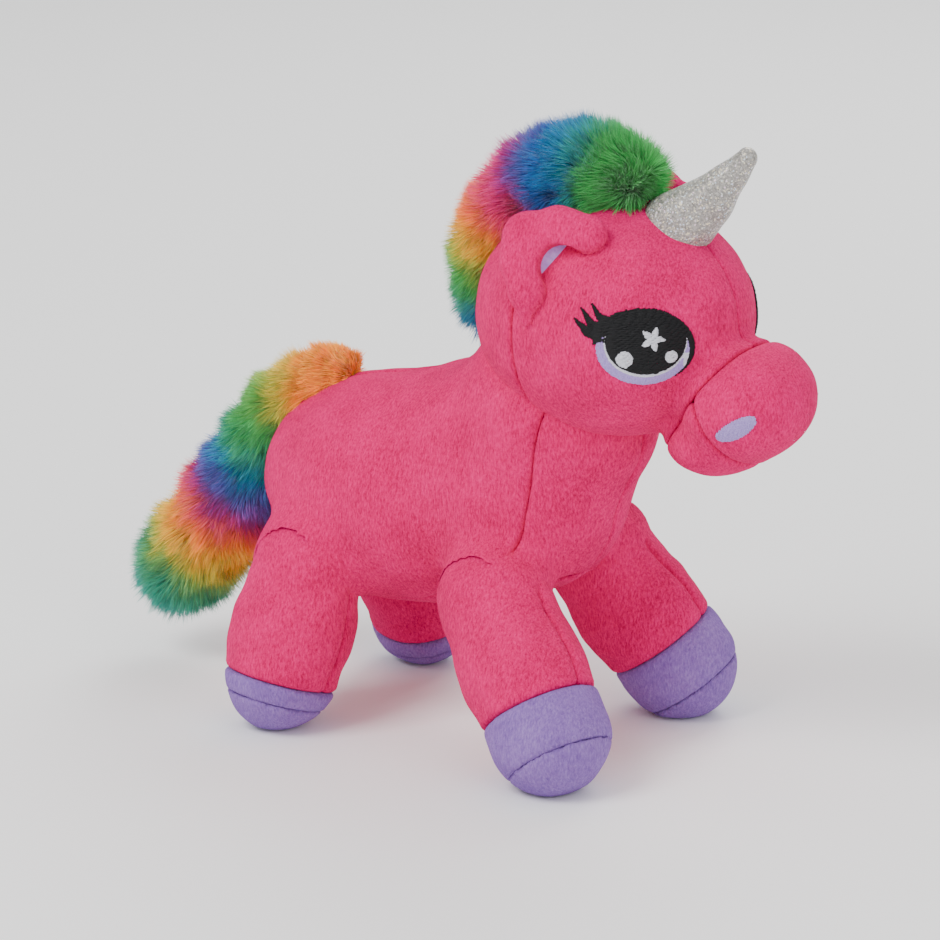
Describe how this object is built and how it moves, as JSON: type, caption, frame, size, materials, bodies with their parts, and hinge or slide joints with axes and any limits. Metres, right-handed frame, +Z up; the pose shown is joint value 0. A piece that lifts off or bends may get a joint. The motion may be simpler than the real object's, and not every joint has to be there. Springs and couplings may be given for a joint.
{
  "type": "plush unicorn",
  "caption": "Soft stuffed toy unicorn standing on four stubby legs, with a padded horn, cupped ears, embroidered eyes, and a banded rainbow faux-fur mane and tail.",
  "frame": {"origin": "on the floor under the middle of the object's box, hooves standing at z = 0", "axes": "+X towards the head, +Y the animal's left, +Z up"},
  "size_m": [0.261, 0.127, 0.209],
  "materials": {
    "pink_velboa": "matte",
    "purple_velboa": "matte",
    "black_thread": "matte",
    "white_thread": "matte",
    "lilac_thread": "matte",
    "silver_thread": "matte",
    "ear_satin": "matte",
    "horn_lame": "matte",
    "rainbow_fur": "matte",
    "fur_backing": "matte",
    "fibre_filling": "matte"
  },
  "bodies": {
    "torso": {"body_panel_left": "pink_velboa", "body_panel_right": "pink_velboa", "chest_panel_left": "pink_velboa", "chest_panel_right": "pink_velboa", "belly_panel": "pink_velboa", "body_stuffing": "fibre_filling"},
    "neck": {"neck_stuffing": "fibre_filling"},
    "head": {"head_back_left": "pink_velboa", "head_back_right": "pink_velboa", "face_left": "pink_velboa", "face_right": "pink_velboa", "muzzle_panel": "pink_velboa", "chin_panel": "pink_velboa", "head_stuffing": "fibre_filling", "mane_fur": "rainbow_fur", "mane_backing": "fur_backing", "eye_black_left": "black_thread", "eye_white_left": "white_thread", "eye_lilac_left": "lilac_thread", "eye_sparkles_left": "silver_thread", "eye_black_right": "black_thread", "eye_white_right": "white_thread", "eye_lilac_right": "lilac_thread", "eye_sparkles_right": "silver_thread", "nostril_left": "lilac_thread", "nostril_right": "lilac_thread"},
    "horn": {"horn_cover": "horn_lame", "horn_stuffing": "fibre_filling"},
    "ear_left": {"ear_outer_left": "pink_velboa", "ear_lining_left": "ear_satin"},
    "ear_right": {"ear_outer_right": "pink_velboa", "ear_lining_right": "ear_satin"},
    "tail_root": {"tail_root_stuffing": "fibre_filling"},
    "tail": {"tail_fur": "rainbow_fur", "tail_backing": "fur_backing", "tail_stuffing": "fibre_filling"},
    "front_leg_left": {"front_leg_left_outer": "pink_velboa", "front_leg_left_inner": "pink_velboa", "front_leg_left_hoof": "purple_velboa", "front_leg_left_sole": "purple_velboa", "front_leg_left_stuffing": "fibre_filling"},
    "front_leg_right": {"front_leg_right_outer": "pink_velboa", "front_leg_right_inner": "pink_velboa", "front_leg_right_hoof": "purple_velboa", "front_leg_right_sole": "purple_velboa", "front_leg_right_stuffing": "fibre_filling"},
    "rear_leg_left": {"rear_leg_left_outer": "pink_velboa", "rear_leg_left_inner": "pink_velboa", "rear_leg_left_hoof": "purple_velboa", "rear_leg_left_sole": "purple_velboa", "rear_leg_left_stuffing": "fibre_filling"},
    "rear_leg_right": {"rear_leg_right_outer": "pink_velboa", "rear_leg_right_inner": "pink_velboa", "rear_leg_right_hoof": "purple_velboa", "rear_leg_right_sole": "purple_velboa", "rear_leg_right_stuffing": "fibre_filling"}
  },
  "joints": [
    {"name": "neck_turn", "type": "hinge", "parent": "torso", "child": "neck", "pos_m": [0.037, 0, 0.112], "axis": [0, 0, 1], "range_deg": [-30, 30], "stiffness_Nm_per_rad": 0.6},
    {"name": "neck_nod", "type": "hinge", "parent": "neck", "child": "head", "pos_m": [0.037, 0, 0.112], "axis": [0, 1, 0], "range_deg": [-10, 14], "stiffness_Nm_per_rad": 1},
    {"name": "horn_wobble", "type": "hinge", "parent": "head", "child": "horn", "pos_m": [0.08182, 0, 0.18038], "axis": [0, 1, 0], "range_deg": [-10, 9], "stiffness_Nm_per_rad": 0.05},
    {"name": "ear_fold_right", "type": "hinge", "parent": "head", "child": "ear_right", "pos_m": [0.0567, -0.04168, 0.16731], "axis": [0.5912, 0.3607, 0.7214], "range_deg": [-20, 20], "stiffness_Nm_per_rad": 0.02},
    {"name": "ear_fold_left", "type": "hinge", "parent": "head", "child": "ear_left", "pos_m": [0.0567, 0.04168, 0.16731], "axis": [0.5912, -0.3607, 0.7214], "range_deg": [-20, 20], "stiffness_Nm_per_rad": 0.02},
    {"name": "front_leg_left_swing", "type": "hinge", "parent": "torso", "child": "front_leg_left", "pos_m": [0.033, 0.032, 0.056], "axis": [0, 1, 0], "range_deg": [-20, 20], "stiffness_Nm_per_rad": 1.2},
    {"name": "front_leg_right_swing", "type": "hinge", "parent": "torso", "child": "front_leg_right", "pos_m": [0.033, -0.032, 0.056], "axis": [0, 1, 0], "range_deg": [-20, 20], "stiffness_Nm_per_rad": 1.2},
    {"name": "rear_leg_left_swing", "type": "hinge", "parent": "torso", "child": "rear_leg_left", "pos_m": [-0.042, 0.03, 0.054], "axis": [0, 1, 0], "range_deg": [-16, 20], "stiffness_Nm_per_rad": 1.2},
    {"name": "rear_leg_right_swing", "type": "hinge", "parent": "torso", "child": "rear_leg_right", "pos_m": [-0.042, -0.03, 0.054], "axis": [0, 1, 0], "range_deg": [-16, 20], "stiffness_Nm_per_rad": 1.2},
    {"name": "tail_wag", "type": "hinge", "parent": "torso", "child": "tail_root", "pos_m": [-0.049, 0, 0.11111], "axis": [0, 0, 1], "range_deg": [-20, 20], "stiffness_Nm_per_rad": 0.1},
    {"name": "tail_lift", "type": "hinge", "parent": "tail_root", "child": "tail", "pos_m": [-0.049, 0, 0.11111], "axis": [0, 1, 0], "range_deg": [0, 45], "stiffness_Nm_per_rad": 0.1}
  ]
}
